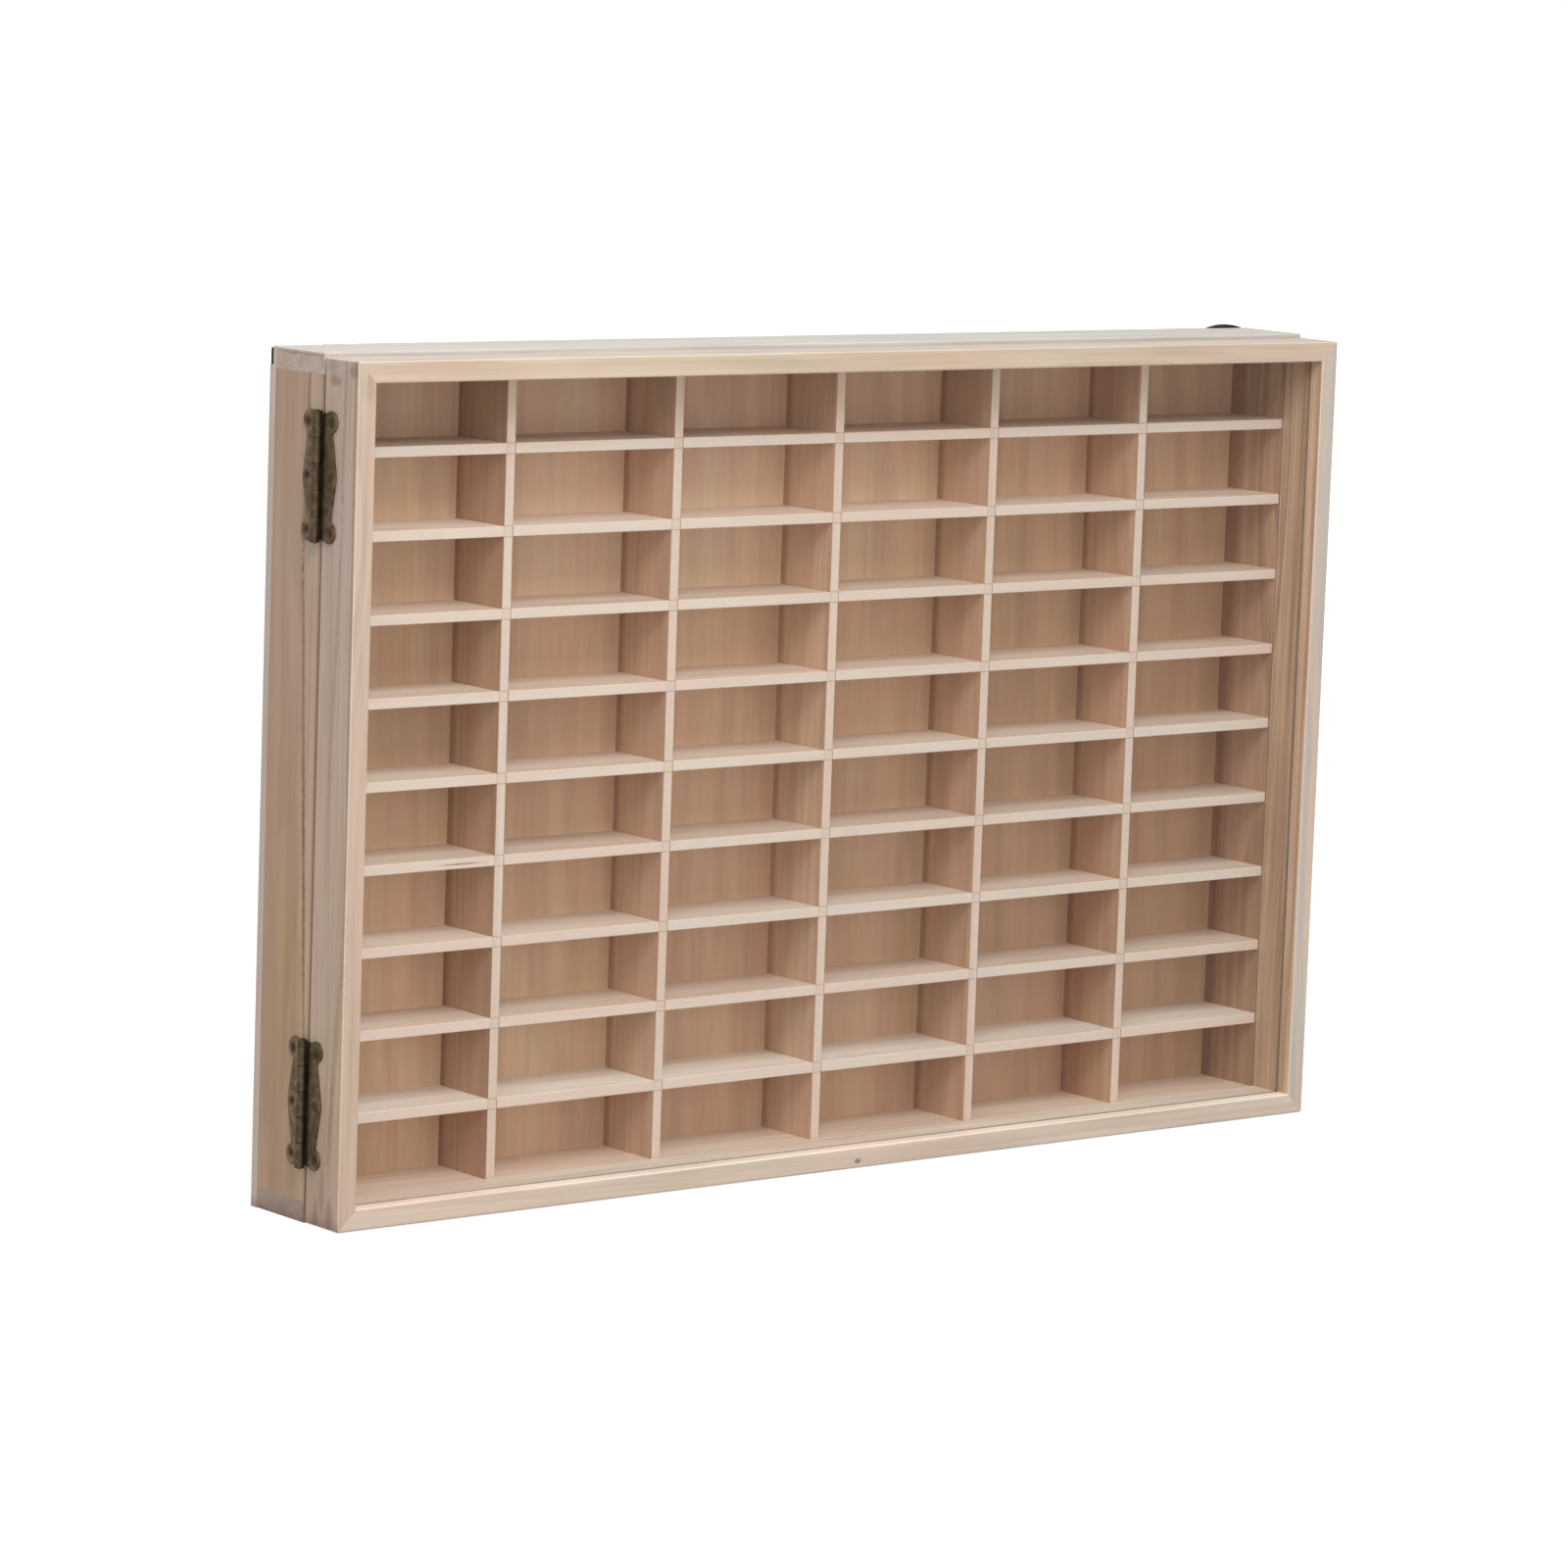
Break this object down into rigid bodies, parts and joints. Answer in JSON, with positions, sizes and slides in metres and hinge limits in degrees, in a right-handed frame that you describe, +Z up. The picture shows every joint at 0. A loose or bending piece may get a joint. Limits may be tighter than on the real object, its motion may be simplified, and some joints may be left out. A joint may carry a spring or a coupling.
{
  "type": "model car display case",
  "caption": "Wooden wall or shelf case for small model cars: a divided box behind a glazed front frame that swings on side hinges and closes with a hook.",
  "frame": {"origin": "middle of the overall outline, on the surface that the case stands on", "axes": "+X to the viewer's right along the case, +Y from the glazed front to the wall, +Z up"},
  "size_m": [0.6096, 0.0718, 0.4018],
  "materials": {
    "case_wood": "bare sanded softwood",
    "panel_wood": "bare plywood",
    "divider_wood": "bare sanded softwood",
    "frame_wood": "bare sanded softwood",
    "clear_pane": "clear polished",
    "antique_bronze": "dark antiqued",
    "black_iron": "black satin",
    "bright_steel": "bright wire"
  },
  "bodies": {
    "case": {"case_top_board": "case_wood", "case_bottom_board": "case_wood", "case_left_board": "case_wood", "case_right_board": "case_wood", "back_panel": "panel_wood", "shelf_1": "divider_wood", "shelf_2": "divider_wood", "shelf_3": "divider_wood", "shelf_4": "divider_wood", "shelf_5": "divider_wood", "shelf_6": "divider_wood", "shelf_7": "divider_wood", "shelf_8": "divider_wood", "shelf_9": "divider_wood", "divider_1": "divider_wood", "divider_2": "divider_wood", "divider_3": "divider_wood", "divider_4": "divider_wood", "divider_5": "divider_wood", "case_corner_brads": "bright_steel", "back_panel_brads": "bright_steel", "upper_hinge_case_leaf": "antique_bronze", "lower_hinge_case_leaf": "antique_bronze", "upper_hinge_pin": "antique_bronze", "lower_hinge_pin": "antique_bronze", "case_hinge_nails": "antique_bronze", "left_hanger": "black_iron", "right_hanger": "black_iron", "hanger_screws": "black_iron", "catch_plate": "antique_bronze", "catch_stud": "antique_bronze"},
    "front_frame": {"frame_top_rail": "frame_wood", "frame_bottom_rail": "frame_wood", "frame_left_stile": "frame_wood", "frame_right_stile": "frame_wood", "pane": "clear_pane", "frame_corner_brads": "bright_steel", "upper_hinge_frame_leaf": "antique_bronze", "lower_hinge_frame_leaf": "antique_bronze", "frame_hinge_nails": "antique_bronze", "latch_plate": "antique_bronze", "latch_pivot_screw": "antique_bronze"},
    "latch_hook": {"latch_hook": "antique_bronze"}
  },
  "joints": [
    {"name": "front_frame_swing", "type": "hinge", "parent": "case", "child": "front_frame", "pos_m": [-0.30255, -0.0072, 0.2], "axis": [0, 0, -1], "range_deg": [0, 180]},
    {"name": "latch_hook_turn", "type": "hinge", "parent": "front_frame", "child": "latch_hook", "pos_m": [0.302, -0.0224, 0.2], "axis": [1, 0, 0], "range_deg": [-270, 0]}
  ]
}
